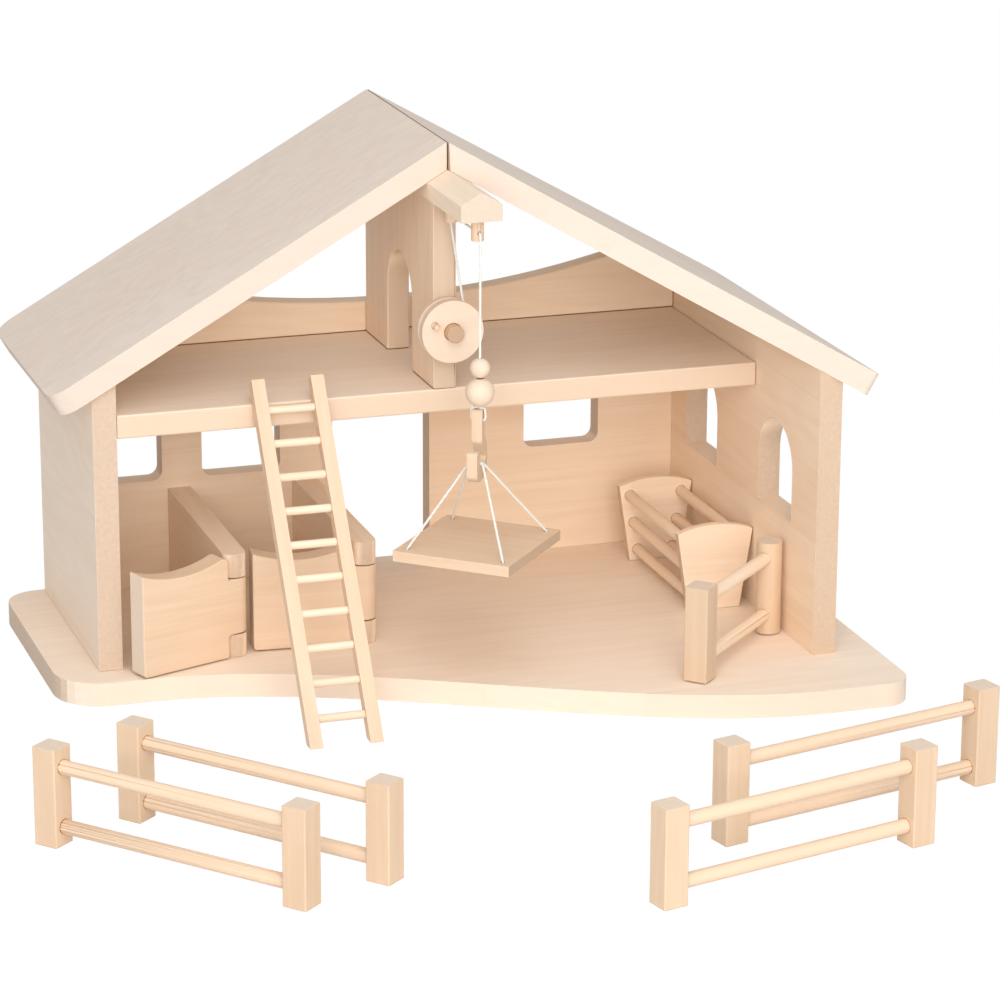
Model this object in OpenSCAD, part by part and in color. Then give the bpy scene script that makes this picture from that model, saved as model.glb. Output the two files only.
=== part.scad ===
// Toy barn: asymmetric open-fronted barn with two stalls, a hayloft with a hoist,
// a ladder, a manger, a swinging gate and four loose fence sections.
// x = 0 is the plane of the ridge, y = 0 the front of the loft, z = 0 the underside of the base.
// +x is to the right, +y to the back and +z up. All sizes are in millimetres.

/* [Boards] */
// Thickness of the base, walls, floors, roof and stall boards
board_t = 20; // [17:0.5:23]
// Radius of the joint dowels between boards
joint_dowel_r = 4; // [3:0.5:5]
// Radial room around a glued dowel
glue_fit = 0.05; // [0.02:0.01:0.1]
// Room between the wall tops and the roof boards
roof_seat = 0.1; // [0.05:0.05:0.3]

/* [Barn] */
// Width over the outsides of the two side walls
barn_w = 600; // [570:1:640]
// Depth from the loft's front to the backs of the walls
barn_d = 222; // [210:1:250]
// How far the right wall runs in front of the loft
right_wall_run = 140; // [110:1:150]
// Clear height of the ground floor under the loft
ground_h = 198.8; // [185:0.1:215]
// Height of the roof's underside at the ridge above the floor
ridge_z = 427; // [415:1:440]
// Slope of both roof panels in degrees
roof_pitch = 29.6; // [28:0.1:31]
// Level reach of the left panel's top edge from the ridge
eave_left = 336; // [328:1:350]
// Level reach of the right panel's top edge from the ridge
eave_right = 328; // [322:1:345]
// How far the left panel's front edge hangs in front of the loft
roof_front = 7.5; // [4:0.5:14]
// How far both panels hang behind the walls
roof_back = 6; // [1:0.5:12]
// How far the right panel covers the front of the right wall
wall_cover = 1.5; // [0.5:0.5:4]
// Corner radius of the roof panels at the eaves
eave_corner_r = 18; // [10:1:30]
// Corner radius of the right panel's pointed front corner
eave_point_r = 4.5; // [2:0.5:12]
// Gap between the two panels along the ridge
ridge_gap = 1.2; // [0.2:0.1:1.5]

/* [Base] */
// How far the base runs out beyond each side wall
base_side = 37; // [25:1:50]
// How far the base runs out behind the walls
base_back = 4; // [0:0.5:20]
// How far the base runs out in front of the loft at the left
base_front_left = 29.5; // [20:0.5:40]
// How far the base runs out in front of the right wall
base_front_right = 84; // [70:1:95]
// Corner radius at the front left
base_r_left = 42; // [20:1:50]
// Corner radius at the front right
base_r_right = 24; // [15:1:30]
// Corner radius at the back
base_r_back = 30; // [15:1:40]

/* [Windows and doorways] */
// Height of the sills in the back panels above the base
sill_h = 98.5; // [80:0.5:110]
// Height of the sills in the right wall above the base
arch_sill_h = 100.5; // [80:0.5:110]
// Width of each arched window in the right wall
arch_w = 76; // [60:1:80]
// Height of each arched window up to its crown
arch_h = 81; // [75:1:90]
// Middle of the front window, in front of the loft's front
arch_front_y = 47; // [40:1:60]
// Middle of the rear window, behind the loft's front
arch_rear_y = 126.5; // [110:1:140]
// Width of each window in the back panels
back_window_w = 71; // [60:1:75]
// Height of each window in the back panels
back_window_h = 65; // [50:1:75]
// Corner radius of the windows in the back panels
back_window_r = 9; // [4:1:15]
// Middle of the back door opening, to the right of the ridge
back_door_x = 3.5; // [-5:0.5:8]
// Width of the back door opening between the two panels
back_door_w = 90; // [80:1:100]
// Wall between the back door and the nearest window at the left
back_pier_left = 48; // [40:1:60]
// Wall between the two windows at the left
back_pier_windows = 36; // [28:1:40]
// Wall between the back door and the window at the right
back_pier_right = 89; // [75:1:95]
// Width of the doorway through the loft's centre wall
loft_door_w = 72; // [60:1:80]
// Height of that doorway to its crown
loft_door_h = 96; // [85:1:105]
// Middle of that doorway behind the loft's front
loft_door_y = 98.5; // [90:1:110]
// Lowest height of the loft's back board above the loft floor
parapet_h = 26.7; // [18:0.1:35]
// Radius of the back board's hollow top
parapet_r = 875; // [800:5:1000]
// Place of that hollow's lowest point, to the right of the ridge
parapet_x = 7; // [-5:1:10]

/* [Stalls] */
// Width of the left stall, between the left wall and the first partition
stall_left_w = 88.5; // [80:0.5:95]
// Width of the middle stall, between the two partitions
stall_right_w = 93; // [85:0.5:100]
// Height of the partitions above the base
partition_h = 90; // [80:1:100]
// Distance of the hinge axes behind the loft's front
hinge_y = 11; // [10:0.5:20]
// Height of the partition knuckles at the bottom and at the top
knuckle_h = 20; // [15:0.5:25]
// Radius of the hinge pins
hinge_pin_r = 3; // [2:0.5:4]
// Radial running room between a pin and its door
pin_fit = 0.08; // [0.02:0.01:0.1]
// Free room between door and partition knuckles
knuckle_gap = 0.8; // [0.4:0.1:1.5]
// Room round the knuckles where door and partition boards are cut back
hinge_cut = 1.6; // [1.4:0.1:3]
// Room between the doors and the base
door_lift = 1; // [0.6:0.1:2]
// Room between the left door's free end and the left wall
door_gap_left = 2; // [2:0.5:6]
// Room between the right door's free end and the first partition
door_gap_right = 6.5; // [4:0.5:12]
// Height of the left door at both ends of its top edge
door_left_h = 88; // [80:0.5:92]
// Height of the right door at both ends of its top edge
door_right_h = 85.5; // [80:0.5:92]
// Depth of the hollow in the doors' top edges
door_hollow = 7.3; // [3:0.1:12]
// Radius of the doors' shoulders beside the hinges
door_shoulder_r = 5; // [3:0.5:8]
// Opening angle of the left door as shown
door_left_angle = 20; // [0:1:60]
// Opening angle of the right door as shown, a little inwards
door_right_angle = -4.5; // [-5:0.5:10]

/* [Hoist] */
// Width of the ridge beam
beam_w = 35; // [28:1:40]
// Height of the ridge beam from its underside to the ridge
beam_h = 24; // [22:1:30]
// How far the beam runs out in front of the loft
beam_run = 99.5; // [90:0.5:110]
// Offset of the hoist line to the right of the ridge
hoist_x = 1.5; // [-2:0.5:3]
// Radius of the two guide pegs under the beam
peg_r = 5.2; // [4.5:0.1:6.5]
// How far the guide pegs hang below the beam
peg_drop = 18.5; // [15:0.5:22]
// Rear guide peg in front of the loft's front
rear_peg_y = 13; // [8:0.5:20]
// Front guide peg in front of the loft's front
front_peg_y = 83; // [75:0.5:90]
// Height of the cord holes above the pegs' lower ends
peg_hole_up = 7; // [5:0.5:10]
// Radius of the hoist cord
cord_r = 1.1; // [0.8:0.1:1.4]
// Radial room for a cord in its hole
cord_room = 0.4; // [0.2:0.1:0.8]
// Height of the winch axle above the loft floor
winch_up = 53.1; // [45:0.1:60]
// Radius of the winch flanges
flange_r = 26.7; // [24:0.1:28]
// Radius of the wooden drum between the flanges
drum_r = 11.5; // [10:0.5:14]
// Thickness of the rear winch flange
rear_flange_t = 4.4; // [3.5:0.1:6]
// Thickness of the front winch flange
front_flange_t = 5; // [4:0.1:7]
// Width of the groove between the flanges
groove_w = 7; // [6:0.5:11]
// Room between the winch and the centre wall
winch_gap = 1.6; // [0.4:0.1:2.5]
// Radius of the fixed axle dowel
axle_r = 7.25; // [6:0.25:9]
// How far the axle dowel stands out of the front flange
axle_out = 9; // [6:0.5:12]
// Radial running room of the winch on its axle
axle_fit = 0.1; // [0.03:0.01:0.1]
// Radius of the crank peg
crank_r = 2.7; // [2:0.1:3.5]
// Distance of the crank peg from the axle
crank_at = 17; // [15:0.5:20]
// Angle of the crank peg from the right, counted upwards
crank_angle = 157; // [120:1:200]
// How far the crank peg stands out
crank_out = 8; // [6:0.5:14]
// Radius of the small bead
bead_small_r = 8.25; // [6:0.25:10]
// Radius of the large bead
bead_large_r = 12; // [10:0.25:14]
// Height of the large bead's middle above the floor
bead_z = 259.8; // [255:0.1:265]
// Thickness of the wooden hook
hook_t = 8.8; // [7:0.1:12]
// Turn of the hook and its mouth about the hoist line
hook_turn = 31; // [0:1:60]
// How far the hook's middle is beside the cord's line, as the loop holds it
hook_off = 1.5; // [0:0.1:2.5]
// Height of the platform's top above the floor
platform_z = 133.7; // [120:0.1:145]
// Size of the platform along its own x
platform_w = 103; // [90:0.5:115]
// Size of the platform along its own y
platform_d = 108.5; // [90:0.5:115]
// Thickness of the platform
platform_t = 9; // [8:0.5:12]
// Turn of the platform about the vertical
platform_turn = -41.6; // [-60:0.1:60]
// How far the platform's middle hangs to the left of the cord's line
platform_off = 2; // [0:0.5:4]
// Distance of the sling holes from the platform's edges
sling_inset = 9; // [7:0.5:14]

/* [Ladder] */
// Distance of the ladder's feet in front of the loft, at the rails' backs
ladder_foot = 163; // [150:1:175]
// Middle of the ladder at the loft edge, to the left of the ridge
ladder_x = 135.5; // [130:0.5:145]
// Turn of the ladder about the vertical
ladder_turn = 0.5; // [0:0.1:1]
// Length of the ladder's rails
ladder_len = 307; // [300:1:330]
// Middle to middle distance of the rails
rail_gap = 50.3; // [44:0.1:60]
// Width of a rail
rail_w = 11; // [9:0.5:13]
// Depth of a rail
rail_d = 10.3; // [9:0.1:13]
// Number of rungs
rungs = 10; // [8:1:10]
// Radius of a rung
rung_r = 3.4; // [2.5:0.1:4]
// Spacing of the rungs
rung_pitch = 29.2; // [26:0.1:30]
// Distance of the lowest rung from the foot
rung_first = 18.4; // [14:0.1:26]

/* [Manger] */
// Room between the end plates' upper corners and the right wall
manger_wall_gap = 0.8; // [0.5:0.1:8]
// Room between the rear end plate and the back panel
manger_back_gap = 47.8; // [40:0.1:60]
// Distance between the end plates' inner faces
manger_len = 140.3; // [120:0.1:150]
// Thickness of the end plates
plate_t = 8; // [7:0.5:10]
// Room under the manger's feet
manger_lift = 0.1; // [0.05:0.05:0.3]
// Width of an end plate at the bottom
plate_foot_w = 47.5; // [44:0.5:52]
// Width of an end plate at the top
plate_top_w = 69.2; // [62:0.1:72]
// Height of an end plate at its sides
plate_side_h = 70.6; // [65:0.1:74]
// Height of an end plate in the middle
plate_h = 77; // [76:0.5:84]
// Radius of the manger's bars
bar_r = 4.8; // [4:0.1:6]
// Height of the lowest bars above the base
bar_low = 10.5; // [8:0.5:12]
// Height step between the bars
bar_step = 25.7; // [22:0.1:26]
// Distance from a bar's middle to the plates' slanting edge
bar_edge = 8.8; // [8:0.1:13]

/* [Fences and gate] */
// Side of a square post
post_w = 20.6; // [17:0.5:22]
// Height of the fences' posts
post_h = 78; // [72:1:90]
// Chamfer on the posts' edges
post_chamfer = 0.8; // [0.5:0.1:3]
// Radius of the fence rails
fence_rail_r = 5.6; // [4:0.1:6]
// Height of the fences' lower rails
rail_low = 15; // [12:0.5:24]
// Height of the fences' upper rails
rail_high = 62.5; // [50:0.5:66]
// Depth of the rail sockets in the posts
socket = 10; // [6:0.5:12]
// Middle to middle distance of a fence section's posts
fence_len = 225; // [200:1:240]
// Middle to middle distance of the gate's posts
gate_len = 137; // [120:1:145]
// Height of the gate's posts
gate_post_h = 80.8; // [76:0.1:90]
// Height of the gate's lower rail over its foot
gate_rail_low = 16.5; // [12:0.5:24]
// Height of the gate's upper rail over its foot
gate_rail_high = 67; // [50:0.5:70]
// Radius of the gate's round hinge post
gate_post_r = 11; // [9:0.5:12]
// Radius of the gate's pivot dowel
gate_pivot_r = 4; // [3:0.5:5]
// Radial running room of the gate on its pivot
gate_fit = 0.1; // [0.03:0.01:0.1]
// Room between the gate and the base
gate_lift = 1.5; // [0.8:0.1:2.5]
// Distance of the gate's pivot from the right wall
gate_off_wall = 13.7; // [12.5:0.1:30]
// Distance of the gate's pivot in front of the loft
gate_y = 72.5; // [60:0.5:80]
// Angle of the gate from the left, turned to the front, as shown
gate_angle = 44; // [35:1:50]

/* [Hidden] */
$fn = 64;

// Colours of bare wood, roof, end grain and cord
maple = [0.93, 0.82, 0.70];
maple_pale = [0.95, 0.86, 0.75];
roof_wood = [0.87, 0.79, 0.72];
cord_white = [0.96, 0.95, 0.92];

eps = 1;                      // how far cutting bodies run past the wood
slope = tan(roof_pitch);
roof_rise = board_t / cos(roof_pitch);   // roof thickness measured straight up
wall_in = barn_w / 2 - board_t;          // inner faces of the side walls
back_in = barn_d - board_t;              // inner face of the back panels
loft_under = board_t + ground_h;
loft_top = loft_under + board_t;
beam_z = ridge_z - beam_h;               // underside of the ridge beam
front_right = right_wall_run + base_front_right;
base_half = barn_w / 2 + base_side;
// The right panel's front edge is straight from the ridge over the front of the right wall
right_slant = (right_wall_run + wall_cover - roof_front) / (barn_w / 2);

// Place of the partitions' left faces
partition_1_x = -wall_in + stall_left_w;
partition_2_x = partition_1_x + board_t + stall_right_w;

// Places and turns of the four fence sections: first post, and direction to the second
fence_at = [[-402.6, -304.2], [-331.8, -274.1], [-4, -553.3], [82.2, -454.4]];
fence_dir = [-49.4, -49.9, 14, 13.6];
// How far each section's posts are pulled apart, how much taller they are,
// and how much farther apart its rails lie than on a plain section
fence_pulled = [-0.7, 1.3, 0.6, 12];
fence_taller = [0, 0, 0, 2];
fence_spread = [0, 0, 0, 1.1];

// Points of an arc from angle a0 to a1, without the first ones that are skipped
function arc(cx, cy, r, a0, a1, n = 12, skip = 0) =
  [for (i = [skip:n]) let (a = a0 + (a1 - a0) * i / n) [cx + r * cos(a), cy + r * sin(a)]];

// The arc that rounds corner p between its neighbours a and b
function corner(p, a, b, r, n = 8) =
  r <= 0 ? [p] :
  let (
    u = (a - p) / norm(a - p),
    v = (b - p) / norm(b - p),
    half = acos(u * v) / 2,
    t = r / tan(half),
    c = p + (u + v) / norm(u + v) * r / sin(half),
    from = p + u * t - c,
    to = p + v * t - c,
    a0 = atan2(from[1], from[0]),
    turn = (atan2(to[1], to[0]) - a0 + 900) % 360 - 180
  )
  [for (i = [0:n]) c + r * [cos(a0 + turn * i / n), sin(a0 + turn * i / n)]];

// A polygon with each corner rounded by its own radius
function rounded(pts, rs, n = 8) =
  let (m = len(pts))
  [for (i = [0:m - 1]) each corner(pts[i], pts[(i + m - 1) % m], pts[(i + 1) % m], rs[i], n)];

// Soft S-curve from 0 to 1
function ease(t) = t * t * (3 - 2 * t);

// A board standing across the x axis, from its outline in y and z
module board_x(x, t) {
  translate([x, 0, 0]) rotate([90, 0, 90]) linear_extrude(t) children();
}

// A board standing across the y axis, from its outline in x and z
module board_y(y, t) {
  translate([0, y + t, 0]) rotate([90, 0, 0]) linear_extrude(t) children();
}

module window_cut(cx, w, h, r) {
  polygon(rounded(
    [[cx - w / 2, board_t + sill_h], [cx + w / 2, board_t + sill_h],
     [cx + w / 2, board_t + sill_h + h], [cx - w / 2, board_t + sill_h + h]],
    [r, r, r, r]));
}

// Round-headed opening with its crown h above its foot
module arch_cut(c, z0, w, h) {
  translate([c - w / 2, z0]) square([w, h - w / 2]);
  translate([c, z0 + h - w / 2]) circle(w / 2);
}

// ---- joint dowels ----

base_dowel_up = 25;    // how far the base dowels reach into the boards above
roof_dowel_up = 12;    // how far the roof dowels reach into the roof
roof_dowel_down = 25;  // how far they reach into the walls
dowel_in = 30;         // how far dowels stand inside a board's ends
base_dowel_at = [
  for (y = [dowel_in, back_in - dowel_in]) [-(wall_in + board_t / 2), y],
  for (y = [-right_wall_run + dowel_in, dowel_in, back_in - dowel_in])
    [wall_in + board_t / 2, y],
  for (x = [-wall_in + dowel_in, back_door_x - back_door_w / 2 - dowel_in])
    [x, back_in + board_t / 2],
  for (x = [back_door_x + back_door_w / 2 + dowel_in, wall_in - dowel_in])
    [x, back_in + board_t / 2],
  for (x = [partition_1_x, partition_2_x], y = [hinge_y + 2 * dowel_in, back_in - dowel_in])
    [x + board_t / 2, y]
];
roof_dowel_at = [
  for (y = [dowel_in, back_in - dowel_in]) [-(wall_in + board_t / 2), y],
  for (y = [-right_wall_run + dowel_in, back_in - dowel_in]) [wall_in + board_t / 2, y]
];

module base_dowels_solid(grow = 0, over = 0) {
  for (p = base_dowel_at)
    translate([p[0], p[1], -over])
      cylinder(r = joint_dowel_r + grow, h = board_t + base_dowel_up + over + grow);
}

module roof_dowels_solid(grow = 0) {
  for (p = roof_dowel_at)
    let (z = ridge_z - abs(p[0]) * slope)
    translate([p[0], p[1], z - roof_dowel_down - grow])
      cylinder(r = joint_dowel_r + grow, h = roof_dowel_down + roof_dowel_up + 2 * grow);
}

module base_dowels() {
  color(maple_pale) base_dowels_solid();
}

module roof_dowels() {
  color(maple_pale) roof_dowels_solid();
}

// ---- base, walls and floors ----

base_curve_half = wall_in - 15;   // the front edge is curved this far to both sides
base_curve = [
  for (i = [0:28])
    let (t = i / 28)
    [base_curve_half * (2 * t - 1),
     -base_front_left - (front_right - base_front_left) * ease(t)]
];

module base_board() {
  back = barn_d + base_back;
  left_front = [-base_half, -base_front_left];
  right_front = [base_half, -front_right];
  right_back = [base_half, back];
  left_back = [-base_half, back];
  color(maple) difference() {
    linear_extrude(board_t) polygon(concat(
      corner(left_front, left_back, base_curve[0], base_r_left),
      base_curve,
      corner(right_front, base_curve[len(base_curve) - 1], right_back, base_r_right),
      corner(right_back, right_front, left_back, base_r_back),
      corner(left_back, right_back, left_front, base_r_back)));
    base_dowels_solid(glue_fit, eps);
    gate_pivot_hole();
  }
}

// Side wall outline: its top follows the roof's underside
module left_wall() {
  color(maple) difference() {
    board_y(0, barn_d) polygon([
      [-barn_w / 2, board_t], [-wall_in, board_t],
      [-wall_in, ridge_z - roof_seat - wall_in * slope],
      [-barn_w / 2, ridge_z - roof_seat - barn_w / 2 * slope]]);
    base_dowels_solid(glue_fit);
    roof_dowels_solid(glue_fit);
  }
}

module right_wall() {
  color(maple) difference() {
    board_y(-right_wall_run, barn_d + right_wall_run) polygon([
      [wall_in, board_t], [barn_w / 2, board_t],
      [barn_w / 2, ridge_z - roof_seat - barn_w / 2 * slope],
      [wall_in, ridge_z - roof_seat - wall_in * slope]]);
    board_x(wall_in - eps, board_t + 2 * eps) {
      arch_cut(-arch_front_y, board_t + arch_sill_h, arch_w, arch_h);
      arch_cut(arch_rear_y, board_t + arch_sill_h, arch_w, arch_h);
    }
    base_dowels_solid(glue_fit);
    roof_dowels_solid(glue_fit);
  }
}

module back_panel_left() {
  x1 = back_door_x - back_door_w / 2;
  window_x = x1 - back_pier_left - back_window_w / 2;
  step = back_window_w + back_pier_windows;
  color(maple) difference() {
    board_y(back_in, board_t) difference() {
      translate([-wall_in, board_t]) square([wall_in + x1, ground_h]);
      for (x = [window_x, window_x - step])
        window_cut(x, back_window_w, back_window_h, back_window_r);
    }
    base_dowels_solid(glue_fit);
  }
}

module back_panel_right() {
  x0 = back_door_x + back_door_w / 2;
  color(maple) difference() {
    board_y(back_in, board_t) difference() {
      translate([x0, board_t]) square([wall_in - x0, ground_h]);
      window_cut(x0 + back_pier_right + back_window_w / 2,
                 back_window_w, back_window_h, back_window_r);
    }
    base_dowels_solid(glue_fit);
  }
}

module loft_floor() {
  color(maple)
    translate([-wall_in, 0, loft_under]) cube([2 * wall_in, barn_d, board_t]);
}

// Back board of the loft with a hollow top, cut to the roof's slope at both ends
module loft_back_board() {
  side_z = ridge_z - roof_seat - wall_in * slope;
  color(maple) board_y(back_in, board_t) difference() {
    polygon([
      [-wall_in, loft_top], [wall_in, loft_top], [wall_in, side_z],
      [0, ridge_z - roof_seat], [-wall_in, side_z]]);
    translate([parapet_x, loft_top + parapet_h + parapet_r])
      circle(parapet_r, $fn = 240);
  }
}

module centre_wall() {
  color(maple) difference() {
    translate([-board_t / 2, 0, loft_top])
      cube([board_t, back_in, beam_z - loft_top]);
    board_x(-board_t / 2 - eps, board_t + 2 * eps)
      translate([0, -eps]) arch_cut(loft_door_y, loft_top, loft_door_w, loft_door_h + eps);
    winch_axle_solid(glue_fit);
  }
}

// ---- roof ----

ridge_over = 5;   // how far a roof board is drawn over the ridge before it is cut upright

// One roof board lying down the slope to the right, from its outline in slope length and y
module roof_board(reach, front_eave, front_r) {
  len_s = reach / cos(roof_pitch);
  back = barn_d + roof_back;
  difference() {
    translate([0, 0, ridge_z + roof_rise]) rotate([0, roof_pitch, 0])
      translate([0, 0, -board_t]) linear_extrude(board_t) polygon(rounded(
        [[-ridge_over, -roof_front], [len_s, -front_eave], [len_s, back], [-ridge_over, back]],
        [0, front_r, eave_corner_r, 0]));
    translate([-board_t, -front_eave - eps, ridge_z - board_t])
      cube([board_t + ridge_gap / 2, front_eave + back + 2 * eps, roof_rise + 2 * board_t]);
  }
}

module roof_panel_left() {
  color(roof_wood) difference() {
    mirror([1, 0, 0]) roof_board(eave_left, roof_front, eave_corner_r);
    roof_dowels_solid(glue_fit);
  }
}

module roof_panel_right() {
  color(roof_wood) difference() {
    roof_board(eave_right, roof_front + right_slant * eave_right, eave_point_r);
    roof_dowels_solid(glue_fit);
  }
}

// ---- beam and guide pegs ----

peg_socket = 12;  // how far the pegs reach up into the beam
peg_hole_z = beam_z - peg_drop + peg_hole_up;

module peg_solid(y, grow = 0) {
  translate([hoist_x, -y, beam_z - peg_drop])
    cylinder(r = peg_r + grow, h = peg_drop + peg_socket + grow);
}

module ridge_beam() {
  shoulder = ridge_z - roof_seat - beam_w / 2 * slope;
  color(maple) difference() {
    board_y(-beam_run, beam_run + back_in) polygon([
      [-beam_w / 2, beam_z], [beam_w / 2, beam_z],
      [beam_w / 2, shoulder], [0, ridge_z - roof_seat], [-beam_w / 2, shoulder]]);
    peg_solid(rear_peg_y, glue_fit);
    peg_solid(front_peg_y, glue_fit);
  }
}

module guide_peg(y) {
  color(maple_pale) difference() {
    peg_solid(y);
    translate([hoist_x, -y + peg_r + eps, peg_hole_z]) rotate([90, 0, 0])
      cylinder(r = cord_r + cord_room, h = 2 * peg_r + 2 * eps);
  }
}

module rear_guide_peg() { guide_peg(rear_peg_y); }
module front_guide_peg() { guide_peg(front_peg_y); }

// ---- winch ----

winch_z = loft_top + winch_up;
axle_in = 14;    // how far the axle dowel reaches into the centre wall
crank_skin = 1;  // wood left behind the crank peg's socket
rear_flange_y = -winch_gap;
drum_y = rear_flange_y - rear_flange_t;
front_flange_y = drum_y - groove_w;
winch_front = front_flange_y - front_flange_t;
crank_y = front_flange_y - crank_skin;
wrap_r = drum_r + 2 * cord_r;

// A cylinder along y from y0 towards the front
module turned(y0, len, r) {
  translate([hoist_x, y0, winch_z]) rotate([90, 0, 0]) cylinder(r = r, h = len);
}

module winch_axle_solid(grow = 0) {
  turned(axle_in + grow, axle_in + grow - winch_front + axle_out, axle_r + grow);
}

module winch_axle() {
  color(maple_pale) winch_axle_solid();
}

module winch_rear_flange() {
  color(maple_pale) difference() {
    turned(rear_flange_y, rear_flange_t, flange_r);
    turned(rear_flange_y + eps, rear_flange_t + 2 * eps, axle_r + axle_fit);
  }
}

module winch_drum() {
  color(maple_pale) difference() {
    turned(drum_y, groove_w, drum_r);
    turned(drum_y + eps, groove_w + 2 * eps, axle_r + axle_fit);
  }
}

module crank_at_peg(y0, len, r) {
  translate([crank_at * cos(crank_angle), 0, crank_at * sin(crank_angle)]) turned(y0, len, r);
}

module winch_front_flange() {
  color(maple_pale) difference() {
    turned(front_flange_y, front_flange_t, flange_r);
    turned(front_flange_y + eps, front_flange_t + 2 * eps, axle_r + axle_fit);
    crank_at_peg(crank_y, front_flange_t, crank_r + glue_fit);
  }
}

module winch_crank_peg() {
  shank = front_flange_t - crank_skin + crank_out - crank_r;
  color(maple_pale) {
    crank_at_peg(crank_y, shank, crank_r);
    translate([hoist_x + crank_at * cos(crank_angle), crank_y - shank,
               winch_z + crank_at * sin(crank_angle)]) sphere(crank_r);
  }
}

// The cord wound on the drum, one layer between the flanges
module winch_cord_wrap() {
  color(cord_white) difference() {
    turned(drum_y, groove_w, wrap_r);
    turned(drum_y + eps, groove_w + 2 * eps, drum_r);
  }
}

// ---- hoist cords ----

// A straight cord from a to b
module cord_between(a, b, r = cord_r) {
  d = b - a;
  translate(a) rotate([0, acos(d[2] / norm(d)), atan2(d[1], d[0])])
    cylinder(r = r, h = norm(d), $fn = 16);
}

cord_clear = 0.1;   // room between a cord and what it passes
groove_mid_y = drum_y - groove_w / 2;
drop_y = -front_peg_y - peg_r - 2 * cord_r;   // line of the hanging cord
// The rising cord starts level with the axle, just far enough out to clear the winding
rise_reach = wrap_r + cord_r + cord_clear;
rise_lean = asin(rise_reach / (peg_hole_z - winch_z));
rise_from = [hoist_x + rise_reach / cos(rise_lean), groove_mid_y, winch_z];
bend_r = 1.28 * cord_r;   // a cord's bends are balls that take in both of its ends
rise_to = [hoist_x, -rear_peg_y + peg_r + bend_r + cord_clear, peg_hole_z];

// From the right of the drum up to the rear peg
module hoist_cord_rise() {
  color(cord_white) {
    cord_between(rise_from, rise_to);
    translate(rise_to) sphere(bend_r, $fn = 32);
  }
}

// Level run through both guide pegs
module hoist_cord_run() {
  front_end = [hoist_x, drop_y, peg_hole_z];
  color(cord_white) {
    cord_between(rise_to - [0, bend_r, 0], front_end);
    translate(front_end) sphere(bend_r, $fn = 32);
  }
}

bead_small_z = bead_z + bead_large_r + bead_small_r;
bead_bore_r = cord_r + cord_room;

module hoist_cord_drop() {
  color(cord_white)
    cord_between([hoist_x, drop_y, bead_small_z + bead_small_r],
                 [hoist_x, drop_y, peg_hole_z - bend_r]);
}

module bead(z, r) {
  color(maple_pale) translate([hoist_x, drop_y, z]) difference() {
    sphere(r);
    cylinder(r = bead_bore_r, h = 2 * r + 2 * eps, center = true);
  }
}

module hoist_bead_small() { bead(bead_small_z, bead_small_r); }
module hoist_bead_large() { bead(bead_z, bead_large_r); }

// The cord inside the beads and the loop it makes over the hook and through its eye
hook_top = bead_z - bead_large_r - 2 * cord_r - 2 * cord_clear;   // top of the hook
hook_eye_z = hook_top - 9.5;
eye_r = 2.6;
loop_half = hook_t / 2 + bend_r + cord_clear;
loop_top = hook_top + cord_r + cord_clear;

module hoist_cord_loop() {
  color(cord_white) on_hook() {
    cord_between([hook_off, 0, loop_top], [hook_off, 0, bead_small_z + bead_small_r]);
    for (z = [hook_eye_z, loop_top]) cord_between([-loop_half, 0, z], [loop_half, 0, z]);
    for (x = [-loop_half, loop_half]) {
      cord_between([x, 0, hook_eye_z], [x, 0, loop_top]);
      for (z = [hook_eye_z, loop_top]) translate([x, 0, z]) sphere(bend_r, $fn = 32);
    }
  }
}

// ---- hook, slings and platform ----

hook_len = 58.5;      // height of the whole hook
hook_back = 15;       // how far the belly runs behind the cord's line
hook_front = 21.9;    // how far the tip runs in front of it
hook_tip = 10;        // depth of the upturned tip
hook_tip_h = 26.5;    // height of the tip
shank_back = 5.2;     // how far the shank runs behind the cord's line
shank_front = 4.6;    // how far it runs in front of it
shank_h = 31.5;       // height of the shank's foot over the hook's foot
saddle_h = 13;        // height of the saddle over the hook's foot

// Side outline: first number points to the front, second is height over the hook's foot
hook_outline = rounded([
  [-shank_back, hook_len], [-shank_back, 36], [-hook_back + 1, 25], [-hook_back, 13],
  [-hook_back + 4, 3], [-4, 0], [13, 0], [hook_front, 5],
  [hook_front, hook_tip_h], [hook_front - hook_tip, hook_tip_h],
  [hook_front - hook_tip, saddle_h + 1.5], [9, saddle_h], [-6, saddle_h],
  [-9.5, saddle_h + 3], [shank_front, shank_h], [shank_front, hook_len]],
  [3, 8, 8, 8, 5, 5, 8, 4, 2.5, 2.5, 1, 1, 2, 2, 4, 3], 5);

module on_hoist(turn) {
  translate([hoist_x, drop_y, 0]) rotate([0, 0, turn]) children();
}

// The hook's own frame: x across the hook from its middle, y to the back
module on_hook() {
  on_hoist(-hook_turn) translate([-hook_off, 0, 0]) children();
}

module hoist_hook() {
  color(maple_pale) on_hook() difference() {
    translate([hook_t / 2, 0, hook_top - hook_len]) rotate([90, 0, -90])
      linear_extrude(hook_t) polygon(hook_outline);
    translate([-hook_t, 0, hook_eye_z]) rotate([0, 90, 0])
      cylinder(r = eye_r, h = 2 * hook_t);
  }
}

sling_r = 1.1;
sling_bend_r = 1.28 * sling_r;
knot_r = 2.3;         // a sling's end knot
knot_recess = 5.5;    // depth of the recess that hides a knot under the platform
saddle_z = hook_top - hook_len + saddle_h + sling_r + cord_clear;
hook_side = hook_t / 2 + sling_bend_r + cord_clear;   // middle of the slings beside the hook
sling_out = [5.7, 8.7];   // places of the two sling cords in the mouth, before the cord's line
platform_under = platform_z - platform_t;
hole_x = platform_w / 2 - sling_inset;
hole_y = platform_d / 2 - sling_inset;

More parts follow.
